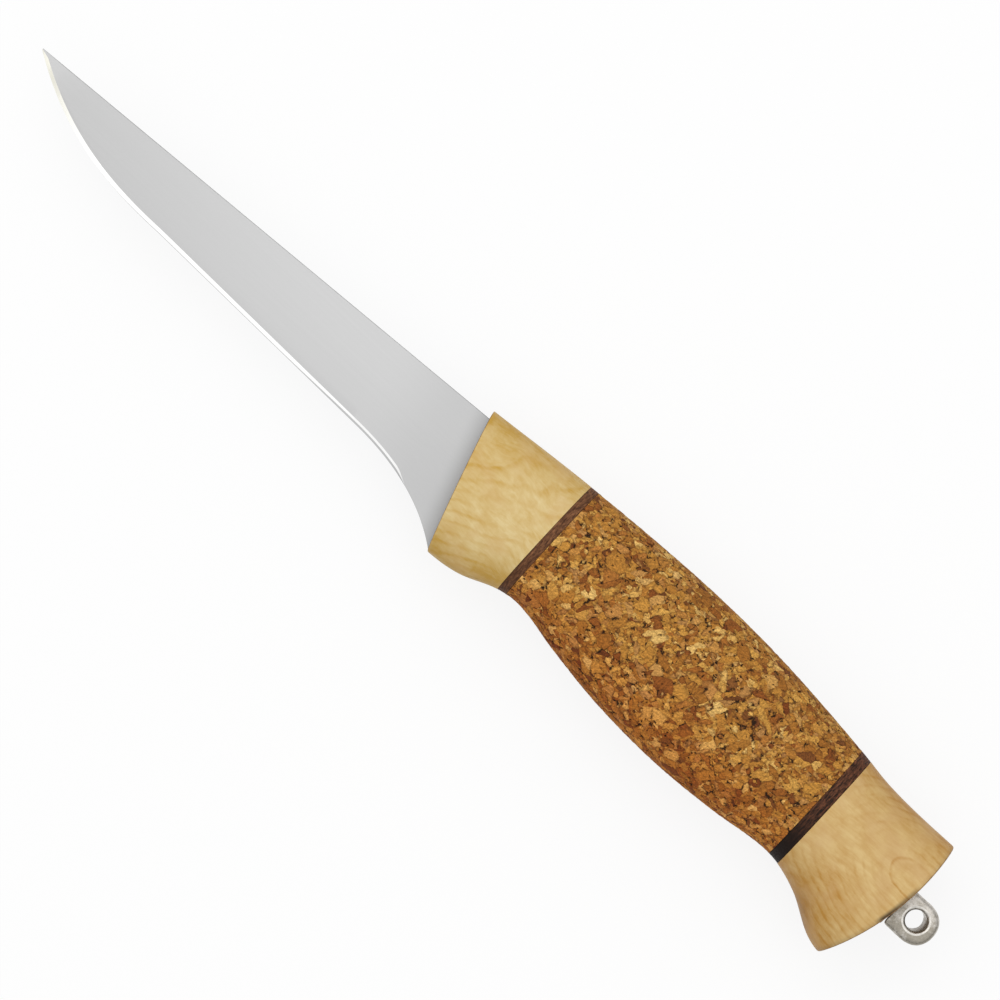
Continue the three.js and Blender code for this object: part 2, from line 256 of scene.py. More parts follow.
def outline(*points):
    """Smooth line through (place, height) points, as the CAD outlines run."""
    places, heights = np.array(points, float).T
    slopes = np.diff(heights) / np.diff(places)
    slopes = np.concatenate([slopes[:1], (slopes[:-1] + slopes[1:]) / 2, slopes[-1:]])

    def height(place):
        place = np.clip(place, places[0], places[-1])
        i = np.clip(np.searchsorted(places, place, side="right") - 1, 0, len(places) - 2)
        width = places[i + 1] - places[i]
        t = (place - places[i]) / width
        start = (1 + 2 * t) * (1 - t) ** 2 * heights[i] + t * (1 - t) ** 2 * width * slopes[i]
        end = t**2 * (3 - 2 * t) * heights[i + 1] + t**2 * (t - 1) * width * slopes[i + 1]
        return start + end

    return height


def in_ferrule(share):
    return part_way(FERRULE_FRONT, 0, share)


def in_grip(share):
    return part_way(GRIP_FRONT, GRIP_BACK, share)


def in_pommel(share):
    return part_way(POMMEL_FRONT, BUTT_APEX, share)


handle_top = outline(
    (in_ferrule(0), 17.0),
    (in_ferrule(1), 18.9),
    (in_grip(0.4), 20.05),
    (in_grip(0.66), 19.45),
    (in_grip(1), 16.9),
    (in_pommel(0.22), 15.74),
    (in_pommel(0.5), 15.35),
    (in_pommel(1), 15.35),
)
handle_bottom = outline(
    (in_ferrule(0), 11.25),
    (in_ferrule(0.39), 11.25),
    (in_ferrule(0.56), 10.91),
    (in_ferrule(0.7), 10.2),
    (in_ferrule(1), 7.5),
    (in_grip(0.038), 6.95),
    (in_grip(0.2), 8.95),
    (in_grip(0.38), 10.77),
    (in_grip(0.61), 11.5),
    (in_grip(0.8), 10.75),
    (in_grip(0.985), 9.35),
    (in_pommel(0), 9.7),
    (in_pommel(0.26), 11.67),
    (in_pommel(0.58), 15.83),
    (in_pommel(0.73), 16.75),
    (in_pommel(1), 16.75),
)
handle_half = outline(
    (in_ferrule(0), 8.8),
    (in_ferrule(1), 10.2),
    (in_grip(0.55), 12.3),
    (in_grip(1), 10.8),
    (in_pommel(1), 11.8),
)


def front_at(y):
    """Where the leaning front face of the ferrule stands at height y."""
    return FERRULE_FRONT + (FRONT_TOP - y) * FRONT_LEAN


def butt_at(y):
    """Where the arc of the butt stands at height y."""
    return BUTT_APEX - BUTT_RADIUS + np.sqrt(BUTT_RADIUS**2 - (y - BUTT_RISE) ** 2)


def flat_at(x):
    return lambda y: np.full_like(y, x)


def skin(x, turn):
    """Points of the handle's outside."""
    top = handle_top(x) - INSET
    bottom = INSET - handle_bottom(x)

    def oval(wave):
        return np.sign(wave) * np.abs(wave) ** (2 / SECTION_POWER)

    y = (top + bottom) / 2 + (top - bottom) / 2 * oval(np.cos(turn))
    z = (handle_half(x) - INSET) * oval(np.sin(turn))
    return np.stack([x, y, z], -1)


def round_bore(radius):
    return lambda angle: np.full_like(angle, radius)


def long_bore(half, top, bottom, power):
    """Reach of a tall bore at an angle about the stud axis: a high power gives square corners."""
    middle, rise = (top - bottom) / 2, (top + bottom) / 2
    ring = np.linspace(0, 2 * np.pi, BORE_POINTS)
    y = middle + rise * np.sign(np.cos(ring)) * np.abs(np.cos(ring)) ** (2 / power)
    z = half * np.sign(np.sin(ring)) * np.abs(np.sin(ring)) ** (2 / power)
    angles, reach = np.arctan2(z, y), np.hypot(y, z)
    order = np.argsort(angles)
    return lambda angle: np.interp(angle, angles[order], reach[order], period=2 * np.pi)


core_bore = long_bore(CORE_HALF, CORE_TOP, CORE_BOTTOM, CORE_POWER)
slot_bore = long_bore(SLOT_HALF, SLOT_TOP, SLOT_BOTTOM, SLOT_POWER)


def ring_rows(rows, closed):
    """Points and faces of a skin over rows of points, which come back to the first row or are capped."""
    points = np.stack(rows)
    count, around = points.shape[:2]
    i = np.arange(count if closed else count - 1)[:, None]
    j = np.arange(around)[None, :]
    k, m = (i + 1) % count, (j + 1) % around
    corners = (i * around + j, i * around + m, k * around + m, k * around + j)
    faces = np.stack(np.broadcast_arrays(*corners), -1).reshape(-1, 4).tolist()
    if not closed:
        faces.append(list(range(around))[::-1])
        faces.append(list(range((count - 1) * around, count * around)))
    return points.reshape(-1, 3), faces


def volume(points, faces):
    """Signed volume inside a skin, which tells which way its faces look."""
    total = 0.0
    quads = np.array([face for face in faces if len(face) == 4])
    for a, b, c in ((0, 1, 2), (0, 2, 3)):
        p, q, r = points[quads[:, a]], points[quads[:, b]], points[quads[:, c]]
        total += np.einsum("ij,ij->i", p, np.cross(q, r)).sum()
    return total


def build(name, shells, crease, second=()):
    """Object from skins given in millimetres. Edges sharper than the crease angle stay crisp.

    The faces listed as second, by number, take the object's second material.
    """
    points, faces = [], []
    for shell_points, shell_faces in shells:
        start = sum(len(part) for part in points)
        turned = volume(shell_points - shell_points.mean(0), shell_faces) < 0
        faces += [[start + v for v in (face[::-1] if turned else face)] for face in shell_faces]
        points.append(shell_points)
    mesh = bpy.data.meshes.new(name)
    mesh.from_pydata((np.concatenate(points) * MM + ORIGIN).tolist(), [], faces)
    mesh.polygons.foreach_set("use_smooth", [True] * len(mesh.polygons))
    for number in second:
        mesh.polygons[number].material_index = 1
    work = bmesh.new()
    work.from_mesh(mesh)
    bmesh.ops.remove_doubles(work, verts=work.verts, dist=WELD * MM)
    work.to_mesh(mesh)
    work.free()
    mesh.set_sharp_from_angle(angle=math.radians(crease))
    made = bpy.data.objects.new(name, mesh)
    bpy.context.scene.collection.objects.link(made)
    return made


def rounded(a, corner, b, steps):
    """Rows that round a corner between two rows of points."""
    return [
        (1 - t) ** 2 * a + 2 * t * (1 - t) * corner + t**2 * b for t in np.linspace(0, 1, steps)
    ]


def handle_piece(name, front, back, bores, front_round, back_round, step, around):
    """A hollow length of the handle, with rims rounded by the given radii.

    Bores are (place, reach) from the back to the front of its inside. Step is the length between rows.
    """
    turn = np.linspace(0, 2 * np.pi, around, endpoint=False)

    def corner(end):
        x = end(np.zeros(around))
        for _ in range(RIM_TRIES):
            x = end(skin(x, turn)[:, 1])
        return x

    def inside(place, reach):
        outer = skin(np.zeros(around), turn)
        angle = np.arctan2(outer[:, 2], outer[:, 1])
        y, z = reach(angle) * np.cos(angle), reach(angle) * np.sin(angle)
        return np.stack([place(y), y, z], -1)

    def cap(end, edge, inner, rounding):
        away = edge[:, 1:] - inner[:, 1:]
        far = np.linalg.norm(away, axis=1, keepdims=True)
        rows = []
        for share in CAP_SHARES:
            flat = inner[:, 1:] + away * (share * (1 - rounding / far))
            rows.append(np.concatenate([end(flat[:, 0])[:, None], flat], 1))
        return rows

    x_front, x_back = corner(front), corner(back)
    inner = [inside(place, reach) for place, reach in bores]
    front_cap = cap(front, skin(x_front, turn), inner[-1], front_round)
    back_cap = cap(back, skin(x_back, turn), inner[0], back_round)
    count = max(2, int(np.max(x_back - x_front) / step))
    lengths = [part_way(x_front + front_round, x_back - back_round, s) for s in np.linspace(0, 1, count)]
    sides = [skin(x, turn) for x in lengths]
    rows = front_cap[:-1]
    rows += rounded(front_cap[-1], skin(x_front, turn), sides[0], RIM_ROWS)
    rows += sides[1:-1]
    rows += rounded(sides[-1], skin(x_back, turn), back_cap[-1], RIM_ROWS)
    rows += back_cap[-2::-1]
    rows += inner[1:-1]
    return build(name, [ring_rows(rows, True)], HANDLE_CREASE)


def turned(profile, around):
    """Ring about the stud axis from closed (place, radius) points."""
    angle = np.linspace(0, 2 * np.pi, around, endpoint=False)
    rows = []
    for x, radius in profile:
        rows.append(np.stack([np.full(around, x), radius * np.cos(angle), radius * np.sin(angle)], -1))
    return ring_rows(rows, True)


def smooth(value, low, high):
    t = np.clip((value - low) / (high - low), 0, 1)
    return t * t * (3 - 2 * t)


def blade_rows():
    """Sections of the blade from the tip to the heel, and of the tang behind it."""
    spine_back = front_at(SPINE_HEIGHT) - BLADE_SEAT
    heel_back = front_at(HEEL_BOTTOM) - BLADE_SEAT
    sweep = spine_back - HEEL_SWEEP_LENGTH
    share = np.linspace(TIP_LAND / BELLY_LENGTH, 1, BELLY_POINTS)
    belly = np.stack(
        [TIP + share * BELLY_LENGTH, TIP_HEIGHT - BELLY_DROP * (1 - (1 - share) ** BELLY_POWER)], -1
    )
    t = np.linspace(0, 1, HEEL_POINTS)[:, None]
    ends = np.array([[sweep, HEEL_SWEEP_HEIGHT], [heel_back, HEEL_BOTTOM]])
    control = np.array([spine_back - HEEL_CORNER_LENGTH, HEEL_CORNER_HEIGHT])
    heel = (1 - t) ** 2 * ends[0] + 2 * t * (1 - t) * control + t**2 * ends[1]
    straight = part_way(belly[-1], heel[0], np.linspace(0, 1, STRAIGHT_POINTS)[1:-1, None])
    bevel_end = spine_back - BEVEL_END_LENGTH
    plunge = bevel_end - PLUNGE_LEAD

    def half_at(x, y):
        ground = FLANK_TAPER_TO_EDGE * (y - SPINE_HEIGHT) + FLANK_TAPER_TO_TIP * (x - spine_back)
        return min(BLADE_HALF + ground, TIP_HALF + TIP_TAPER * (x - TIP))

    def ring(side):
        """Both sides of a section: (x, y, half thickness) rows from spine to edge."""
        mirrored = side * [1, 1, -1]
        return np.concatenate([side, mirrored[::-1]])

    rows = []
    for x, y in np.concatenate([belly, straight, heel]):
        lean = np.clip((x - sweep) / (heel_back - sweep), 0, 1) ** HEEL_LEAN_POWER
        spine_x = x - lean * (heel_back - spine_back)
        spine_y = part_way(TIP_HEIGHT, SPINE_HEIGHT, (spine_x - TIP) / (spine_back - TIP))
        sharp = 1 - smooth(x, bevel_end, bevel_end + BEVEL_FADE)
        unground = smooth(x, plunge, plunge + PLUNGE_LENGTH)
        shoulder_y = y + sharp * min(EDGE_BEVEL, (spine_y - y) / 2)
        spine_half = half_at(spine_x, spine_y)
        shoulder_half = part_way(half_at(x, shoulder_y), BLADE_HALF, unground)
        edge_half = part_way(shoulder_half, EDGE_LAND_HALF, sharp)
        chamfer = min(SPINE_CHAMFER, (spine_y - shoulder_y) / 3, spine_half / 2)
        spine = np.array([spine_x, spine_y - chamfer, spine_half])
        shoulder = np.array([x, shoulder_y, shoulder_half])
        edge = np.array([x, y, edge_half])
        honed = EDGE_HONING * smooth(x, TIP + BELLY_LENGTH / 2, TIP + BELLY_LENGTH)
        honed = part_way(honed, HEEL_HONING, smooth(x, sweep - HONING_LENGTH, sweep)) / EDGE_BEVEL
        honing = part_way(edge, shoulder, honed)
        side = [np.array([spine_x, spine_y, spine_half - chamfer])]
        side += [part_way(spine, shoulder, s) for s in np.linspace(0, 1, FLANK_POINTS)]
        side += [honing, edge]
        rows.append(ring(np.array(side)))
    share = np.linspace(0, 1, len(side))
    for place, heights in ((None, TANG_FRONT), (TANG_END, TANG_BACK)):
        y = part_way(*heights, share)
        x = front_at(y) - BLADE_SEAT if place is None else np.full_like(y, place)
        rows.append(ring(np.stack([x, y, np.full_like(y, TANG_HALF)], -1)))
    return rows


def eye_rows(around):
    """Sections of the eye lug round its hole."""
    angle = np.linspace(-np.pi, np.pi, around, endpoint=False)
    sides = (np.abs(np.sin(angle)) / EYE_SIDE) ** EYE_CORNER_POWER
    base = (np.abs(np.cos(angle)) / (EYE_CENTRE - EYE_BASE)) ** EYE_CORNER_POWER
    squared = (sides + base) ** (-1 / EYE_CORNER_POWER)
    end = (np.abs(np.cos(angle)) / EYE_END) ** EYE_END_POWER
    end += (np.abs(np.sin(angle)) / EYE_SIDE) ** EYE_END_POWER
    reach = np.where(np.cos(angle) > 0, end ** (-1 / EYE_END_POWER), squared)
    at_base = smooth(-np.cos(angle), *EYE_BASE_TURN)
    rounding = part_way(EYE_ROUNDING, EYE_BASE_ROUNDING, at_base)

    def row(radius, z, hole=0):
        """Ring of points at a height on the crowned lug.

        The hole, marked by 1, opens a little off the centre and slants toward the base as it goes down.
        """
        radius = np.broadcast_to(radius, angle.shape)
        x = EYE_CENTRE + hole * (EYE_MOUTH[0] + EYE_SLANT * (z - EYE_HALF)) + radius * np.cos(angle)
        y = hole * EYE_MOUTH[1] + radius * np.sin(angle)
        return np.stack([x, y, z * (1 - EYE_CROWN / EYE_HALF * (y / EYE_SIDE) ** 2)], -1)

    def half(sign):
        """Upper or lower half of the section, from the hole's wall to the outer wall."""
        top = sign * EYE_HALF
        lip = rounded(
            row(EYE_HOLE, top - sign * EYE_FLARE_DEPTH, 1),
            row(EYE_HOLE + EYE_FLARE_BEND[0], top - sign * EYE_FLARE_BEND[1], 1),
            row(EYE_HOLE + EYE_FLARE, top - sign * EYE_LAND_DISH, 1),
            EYE_LIP_ROWS,
        )
        land = row(EYE_HOLE + EYE_FLARE + EYE_LAND, top, 1)
        flat = [part_way(land, row(reach - rounding, top), s) for s in EYE_TOP_SHARES]
        edge = rounded(
            row(reach - rounding, top),
            row(reach, top),
            row(reach, top - sign * rounding),
            EYE_EDGE_ROWS,
        )
        return lip + flat + edge

    return half(1) + half(-1)[::-1]


class Graph:
    """Short ways to add nodes to a node tree of a material, of geometry or of the world."""

    def __init__(self, tree):
        self.tree = tree

    def node(self, kind, inputs=None, **settings):
        made = self.tree.nodes.new(kind)
        for name, value in settings.items():
            setattr(made, name, value)
        for name, value in (inputs or {}).items():
            if isinstance(value, bpy.types.NodeSocket):
                self.tree.links.new(value, made.inputs[name])
            else:
                made.inputs[name].default_value = value
        return made

    def math(self, operation, a, b=0.0):
        return self.node("ShaderNodeMath", {0: a, 1: b}, operation=operation).outputs[0]

    def vector(self, operation, a, b):
        return self.node("ShaderNodeVectorMath", {0: a, 1: b}, operation=operation).outputs[0]

    def length(self, a):
        return self.node("ShaderNodeVectorMath", {0: a}, operation="LENGTH").outputs["Value"]

    def noise(self, place, scale, detail=2.0, roughness=0.5):
        inputs = {"Vector": place, "Scale": scale, "Detail": detail, "Roughness": roughness}
        return self.node("ShaderNodeTexNoise", inputs)

    def cells(self, place, scale, feature="F1"):
        return self.node("ShaderNodeTexVoronoi", {"Vector": place, "Scale": scale}, feature=feature)

    def fit(self, value, low, high, to_low=0.0, to_high=1.0, kind="SMOOTHSTEP"):
        inputs = {"Value": value, 1: low, 2: high, 3: to_low, 4: to_high}
        return self.node("ShaderNodeMapRange", inputs, interpolation_type=kind).outputs[0]

    def mix(self, share, a, b, blend="MIX"):
        inputs = {0: share, 6: a, 7: b}
        return self.node("ShaderNodeMix", inputs, data_type="RGBA", blend_type=blend).outputs[2]

    def blend(self, share, a, b):
        return self.node("ShaderNodeMix", {0: share, 2: a, 3: b}, data_type="FLOAT").outputs[0]

    def part(self, colour, channel):
        return self.node("ShaderNodeSeparateXYZ", {0: colour}).outputs[channel]

    def ramp(self, value, stops):
        made = self.node("ShaderNodeValToRGB", {0: value})
        points = made.color_ramp.elements
        while len(points) < len(stops):
            points.new(0.5)
        for point, (place, colour) in zip(points, stops):
            point.position = place
            point.color = colour
        return made.outputs[0]

    def bump(self, height, distance, strength=1.0):
        inputs = {"Height": height, "Distance": distance, "Strength": strength}
        return self.node("ShaderNodeBump", inputs).outputs[0]

    def place(self):
        """Place on the piece in millimetres."""
        return self.millimetres(self.node("ShaderNodeTexCoord").outputs["Object"])

    def millimetres(self, spot):
        return self.vector("MULTIPLY", self.vector("SUBTRACT", spot, ORIGIN), (1 / MM,) * 3)

    def sway(self, place, scale, reach, detail=2.0):
        """The place pushed about by noise, up to half the reach each way."""
        push = self.vector("SUBTRACT", self.noise(place, scale, detail).outputs["Color"], (0.5,) * 3)
        return self.vector("ADD", place, self.vector("MULTIPLY", push, (reach,) * 3))

    def turn(self, place, angles):
        inputs = {"Vector": place, "Rotation": angles}
        return self.node("ShaderNodeVectorRotate", inputs, rotation_type="EULER_XYZ").outputs[0]

    def dot(self, a, b):
        return self.node("ShaderNodeVectorMath", {0: a, 1: b}, operation="DOT_PRODUCT").outputs["Value"]

    def product(self, *factors):
        result = factors[0]
        for factor in factors[1:]:
            result = self.math("MULTIPLY", result, factor)
        return result

    def total(self, *terms):
        result = terms[0]
        for term in terms[1:]:
            result = self.math("ADD", result, term)
        return result

    def tinted(self, colour, tint):
        """A colour made lighter or darker by a factor."""
        grey = self.node("ShaderNodeCombineXYZ", {0: tint, 1: tint, 2: tint}).outputs[0]
        return self.mix(1.0, colour, grey, "MULTIPLY")


def paint(red, green, blue):
    """Linear colour of an sRGB colour out of 255."""
    shares = np.array([red, green, blue]) / 255
    linear = np.where(shares <= 0.04045, shares / 12.92, ((shares + 0.055) / 1.055) ** 2.4)
    return (*linear.tolist(), 1.0)


def material(name):
    made = bpy.data.materials.new(name)
    made.use_nodes = True
    return made, Graph(made.node_tree), made.node_tree.nodes["Principled BSDF"]


def dress(graph, shader, **values):
    """Sets or links the shader's sockets."""
    for name, value in values.items():
        socket = shader.inputs[name.replace("_", " ")]
        if isinstance(value, bpy.types.NodeSocket):
            graph.tree.links.new(value, socket)
        else:
            socket.default_value = value


def cork_field(graph, place):
    """Cork granule at a place: three random numbers of its own, and how far its rim is in millimetres."""
    loose = graph.sway(graph.sway(place, 0.7, 0.8), 2.2, 0.2)
    chosen, rim = None, None
    for stretch, angles, scale, share in CORK_LAYERS:
        spot = graph.vector("MULTIPLY", graph.turn(loose, angles), stretch)
        layer = graph.cells(spot, scale).outputs["Color"]
        edge = graph.cells(spot, scale, "DISTANCE_TO_EDGE").outputs["Distance"]
        edge = graph.math("DIVIDE", edge, scale)
        if chosen is None:
            chosen, rim = layer, edge
            continue
        over = graph.math("LESS_THAN", graph.part(layer, "X"), share)
        chosen = graph.node("ShaderNodeMix", {0: over, 4: chosen, 5: layer}, data_type="VECTOR").outputs[1]
        rim = graph.blend(over, rim, edge)
    return chosen, rim


def cork_pits(graph, place, rim):
    """Where the cork is open: slits along some rims, and small holes."""
    loose = graph.noise(place, 0.8, 3.0, 0.6).outputs[0]
    slits = graph.product(graph.fit(rim, 0.05, 0.22, 1.0, 0.0), graph.fit(loose, 0.54, 0.64))
    holes = graph.fit(graph.noise(place, 0.9, 3.0, 0.6).outputs[0], 0.66, 0.71)
    return graph.math("MAXIMUM", slits, holes)


def cork_depth(graph, place):
    """How deep the cork's surface lies, in millimetres. Its two end faces stay flat."""
    granule, rim = cork_field(graph, place)
    crumbs = graph.noise(place, 1.8, 3.0, 0.6).outputs[0]
    depth = graph.total(
        graph.product(cork_pits(graph, place, rim), 0.25),
        graph.fit(rim, 0.0, 0.25, 0.04, 0.0),
        graph.product(graph.part(granule, "Y"), 0.04),
        graph.fit(crumbs, 0.3, 0.75, 0.0, 0.06),
    )
    along = graph.part(place, "X")
    from_front = graph.math("SUBTRACT", along, GRIP_FRONT)
    from_back = graph.math("SUBTRACT", GRIP_BACK, along)
    from_ends = graph.math("MINIMUM", from_front, from_back)
    return graph.product(depth, graph.fit(from_ends, 0.05, 0.5))


def leather_depth(graph, place):
    fibres = graph.noise(graph.vector("MULTIPLY", place, (3.0, 0.6, 0.6)), 1.2, 3.0, 0.6).outputs[0]
    return graph.fit(fibres, 0.3, 0.7, 0.0, 0.06)


def eye_depth(graph, place):
    worn = graph.noise(place, 0.7, 3.0, 0.6).outputs[0]
    return graph.fit(worn, 0.3, 0.7, 0.0, 0.05)


def carve(piece, depth):
    """Sinks a piece's surface by a depth field, and keeps where each point was for its material."""
    tree = bpy.data.node_groups.new(piece.name + "_relief", "GeometryNodeTree")
    for way in ("INPUT", "OUTPUT"):
        tree.interface.new_socket("Geometry", in_out=way, socket_type="NodeSocketGeometry")
    graph = Graph(tree)
    source = graph.node("NodeGroupInput").outputs[0]
    spot = graph.node("GeometryNodeInputPosition").outputs[0]
    kept = graph.node(
        "GeometryNodeStoreNamedAttribute",
        {"Geometry": source, "Name": "rest", "Value": spot},
        data_type="FLOAT_VECTOR",
        domain="POINT",
    )
    sink = graph.math("MULTIPLY", depth(graph, graph.millimetres(spot)), -MM)
    normal = graph.node("GeometryNodeInputNormal").outputs[0]
    offset = graph.node("ShaderNodeVectorMath", {0: normal, "Scale": sink}, operation="SCALE").outputs[0]
    moved = graph.node("GeometryNodeSetPosition", {"Geometry": kept.outputs[0], "Offset": offset})
    graph.node("NodeGroupOutput", {0: moved.outputs[0]})
    change = piece.modifiers.new("relief", "NODES")
    change.node_group = tree
    seen = piece.evaluated_get(bpy.context.evaluated_depsgraph_get())
    piece.data = bpy.data.meshes.new_from_object(seen)
    piece.modifiers.clear()


def steel(name, colour, roughness, brushed, scratch, blotch):
    """Worked steel: brushing that runs along the axis of least stretch, and cloudy blotches."""
    made, graph, shader = material(name)
    place = graph.place()
    lines = graph.noise(graph.vector("MULTIPLY", place, brushed), 1.0, 2.0, 0.6).outputs[0]
    cloud = graph.noise(place, 0.8, 3.0, 0.6).outputs[0]
    tint = graph.product(
        graph.fit(cloud, 0.3, 0.7, 1 - blotch, 1 + blotch),
        graph.fit(lines, 0.25, 0.75, 1 - scratch, 1 + scratch),
    )
    dress(
        graph,
        shader,
        Base_Color=graph.tinted(colour, tint),
        Metallic=1.0,
        Roughness=graph.fit(lines, 0.3, 0.7, roughness * 0.9, roughness * 1.1),
        Normal=graph.bump(lines, 0.00002, scratch * 4),
    )
    return made


def satin_flank(name):
    """Satin steel of the blade: a soft painted sheen along it that dims toward the tip and the handle,
    with painted shade and a painted blue reflection next to the handle.
    """
    made, graph, shader = material(name)
    place = graph.place()
    along, height = graph.part(place, "X"), graph.part(place, "Y")
    front = graph.math("MULTIPLY_ADD", height, -FRONT_LEAN)
    front.node.inputs[2].default_value = FERRULE_FRONT + FRONT_TOP * FRONT_LEAN
    to_handle = graph.math("SUBTRACT", front, along)
    lines = graph.noise(graph.vector("MULTIPLY", place, (0.012, 6.0, 6.0)), 1.0, 2.0, 0.6).outputs[0]
    # Painted sheen and shade: lighter in the blade's middle and toward the spine, darker toward the tip
    # and the handle.
    tint = graph.product(
        graph.fit(along, *SHEEN_ALONG, 0.91, 1.0),
        graph.fit(height, *SHEEN_UP, 0.97, 1.02),
        graph.fit(to_handle, *SHEEN_TO_HANDLE, 0.88, 1.0),
        graph.fit(to_handle, *SHADE_TO_HANDLE, 0.8, 1.0),
        graph.fit(lines, 0.25, 0.75, 0.985, 1.015),
    )
    # Painted reflection: a thin cool blue line where the blade meets the ferrule.
    reflected_blue = graph.fit(to_handle, *REFLECTION_TO_HANDLE, 0.5, 0.0)
    colour = graph.mix(reflected_blue, paint(196, 196, 196), paint(180, 192, 201))
    dress(
        graph,
        shader,
        Base_Color=graph.tinted(colour, tint),
        Metallic=1.0,
        Roughness=graph.fit(lines, 0.3, 0.7, 0.3, 0.34),
        Normal=graph.bump(lines, 0.00001, 0.1),
    )
    return made


def keen_edge(name):
    """Freshly whetted steel, bright along the edge, with a painted creamy reflection at the point."""
    made, graph, shader = material(name)
    place = graph.place()
    lines = graph.noise(graph.vector("MULTIPLY", place, (4.0, 0.3, 0.3)), 1.0, 2.0, 0.6).outputs[0]
    # Painted reflection: the edge turns creamy toward the point.
    point = graph.fit(graph.part(place, "X"), *POINT_REFLECTION_ALONG, 1.0, 0.0)
    colour = graph.mix(point, paint(250, 250, 249), paint(240, 238, 226))
    dress(
        graph,
        shader,
        Base_Color=graph.tinted(colour, graph.fit(lines, 0.25, 0.75, 0.98, 1.0)),
        Metallic=1.0,
        Roughness=graph.fit(lines, 0.3, 0.7, 0.22, 0.26),
        Normal=graph.bump(lines, 0.00001, 0.1),
    )
    return made


def cast_steel(name, dark, light):
    """Rough cast steel: cloudy and pitted, lighter on the side toward the spine by painted light, and
    darker toward its outer end.
    """
    made, graph, shader = material(name)
    place = graph.place()
    cloud = graph.noise(place, 0.9, 4.0, 0.65).outputs[0]
    grit = graph.noise(place, 3.0, 3.0, 0.6).outputs[0]
    # Painted light: the side toward the spine is lighter.
    lit_side = graph.fit(graph.part(place, "Y"), *EYE_LIT_SIDE_UP, -0.1, 0.12)
    # Darker toward the lug's outer end.
    darker_to_end = graph.fit(graph.part(place, "X"), *EYE_DARKER_ALONG, 0.0, -0.1)
    share = graph.fit(graph.total(cloud, lit_side, darker_to_end), 0.34, 0.68)
    colour = graph.mix(share, dark, light)
    dress(
        graph,
        shader,
        Base_Color=graph.tinted(colour, graph.fit(grit, 0.3, 0.7, 0.86, 1.12)),
        Metallic=1.0,
        Roughness=graph.fit(grit, 0.3, 0.7, 0.34, 0.44),
        Normal=graph.bump(grit, 0.00006, 0.5),
    )
    return made


def birch(name, pale, deep, warm, grain, waves, ripples, spacing, lines, edge_shade=None):
    """Oiled curly birch: wavy growth lines, a mottled figure, fine fibres, painted shade where the sides
    turn away, and darker end grain that also stands in for shade.

    Grain gives the distance across the growth rings at a place, how plainly their lines show there and how
    much deeper the colour is there, which in some patches is painted shade. Waves and ripples say how far
    the grain wanders, in millimetres.
    """
    made, graph, shader = material(name)
    place = graph.place()
    wood = graph.sway(graph.sway(place, 0.045, waves), 0.3, ripples)
    across, plain, depth = grain(graph, wood)
    rings = graph.math("FRACT", graph.math("DIVIDE", across, spacing))
    line = graph.math("MAXIMUM", graph.fit(rings, 0.66, 0.98), graph.fit(rings, 0.0, 0.2, 1.0, 0.0))
    figure = graph.noise(wood, 0.3, 5.0, 0.62).outputs[0]
    curl = graph.noise(graph.vector("MULTIPLY", wood, (0.22, 0.9, 0.9)), 0.9, 4.0, 0.62).outputs[0]
    fibres = graph.noise(graph.vector("MULTIPLY", wood, (0.12, 2.4, 2.4)), 1.0, 3.0, 0.6).outputs[0]
    to_side = graph.math("ABSOLUTE", graph.part(place, "Z"))
    tone = graph.total(
        graph.product(line, plain, lines),
        graph.fit(figure, 0.32, 0.7, 0.0, 0.3),
        graph.fit(curl, 0.32, 0.7, 0.0, 0.26),
        graph.fit(fibres, 0.3, 0.75, 0.0, 0.16),
        # Painted shade: deeper where the handle's sides turn away, toward the spine and belly edges.
        graph.fit(to_side, 2.5, 9.5, 0.58, 0.0),
        depth,
    )
    blush = graph.fit(graph.noise(place, 0.16, 3.0).outputs[0], 0.45, 0.7, 0.0, 0.45)
    colour = graph.mix(blush, graph.mix(tone, pale, deep), warm)
    # Painted shade along the butt's edge, where the eye and washer meet the wood.
    if edge_shade:
        colour = graph.mix(edge_shade(graph, place), colour, paint(44, 31, 22))
    facing = graph.part(graph.node("ShaderNodeTexCoord").outputs["Normal"], "X")
    pores = graph.noise(graph.vector("MULTIPLY", place, (0.2, 1.0, 1.0)), 2.2, 3.0, 0.65).outputs[0]
    cut = graph.total(graph.fit(pores, 0.32, 0.7, 0.0, 0.7), graph.product(line, 0.45))
    # Darker end grain, which also stands in for shade where the butt's face turns away.
    end_colour = graph.mix(cut, paint(172, 130, 78), paint(112, 74, 38))
    end_grain_and_shade = graph.fit(graph.math("ABSOLUTE", facing), 0.3, 0.75, 0.0, 0.9)
    dress(
        graph,
        shader,
        Base_Color=graph.mix(end_grain_and_shade, colour, end_colour),
        Roughness=graph.fit(fibres, 0.3, 0.7, 0.42, 0.52),
        Specular_IOR_Level=0.22,
        Normal=graph.bump(fibres, 0.00003, 0.35),
    )
    return made


def patch(graph, place, centre, reach, depth):
    """A soft round patch of deeper colour."""
    away = graph.length(graph.vector("SUBTRACT", place, centre))
    return graph.fit(away, PATCH_CORE * reach, reach, depth, 0.0)


def flat_grain(graph, wood):
    """Growth rings nearly flat, crossing the ferrule at a slant."""
    plain = graph.fit(graph.noise(wood, 0.11, 2.0).outputs[0], 0.34, 0.58)
    # The second patch, low on the ferrule, is painted shade.
    depth = graph.total(*[patch(graph, wood, *spot) for spot in FERRULE_PATCHES])
    return graph.dot(wood, RING_SLANT), plain, depth


